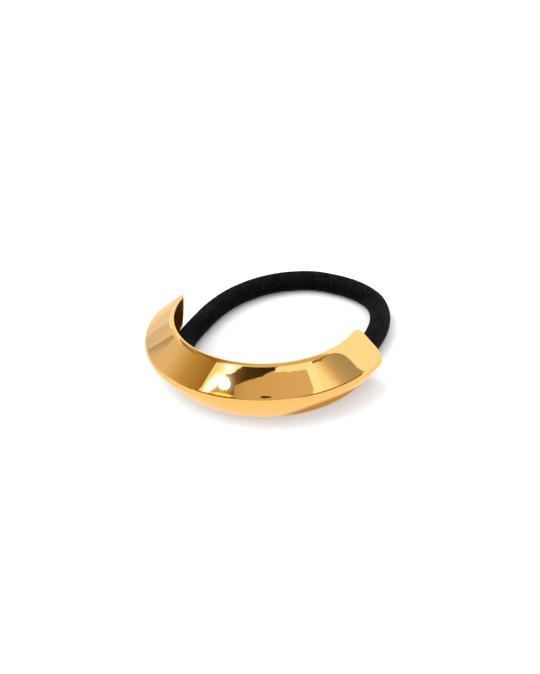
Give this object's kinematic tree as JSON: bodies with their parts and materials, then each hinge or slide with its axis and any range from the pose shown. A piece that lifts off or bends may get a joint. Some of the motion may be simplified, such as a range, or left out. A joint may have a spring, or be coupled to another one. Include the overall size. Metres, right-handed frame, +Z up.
{
  "type": "cuff hair tie",
  "caption": "Hair tie with a hollow half-round gold cuff, bevelled on its face, on a loop of black velvet elastic that runs through keepers inside it.",
  "frame": {"origin": "on the axis of the cuff's ring, on the surface that the cuff's foot and the elastic lie on", "axes": "+Z up along the axis of the loop that the hair passes through; the middle of the cuff faces -Y; +X is to the right of a viewer who faces the cuff's middle"},
  "size_m": [0.06, 0.0682, 0.013],
  "materials": {
    "cuff": "mirror-polished gold plate",
    "elastic": "short black velvet pile"
  },
  "bodies": {
    "root": {"cuff": "cuff", "elastic": "elastic"}
  },
  "joints": []
}
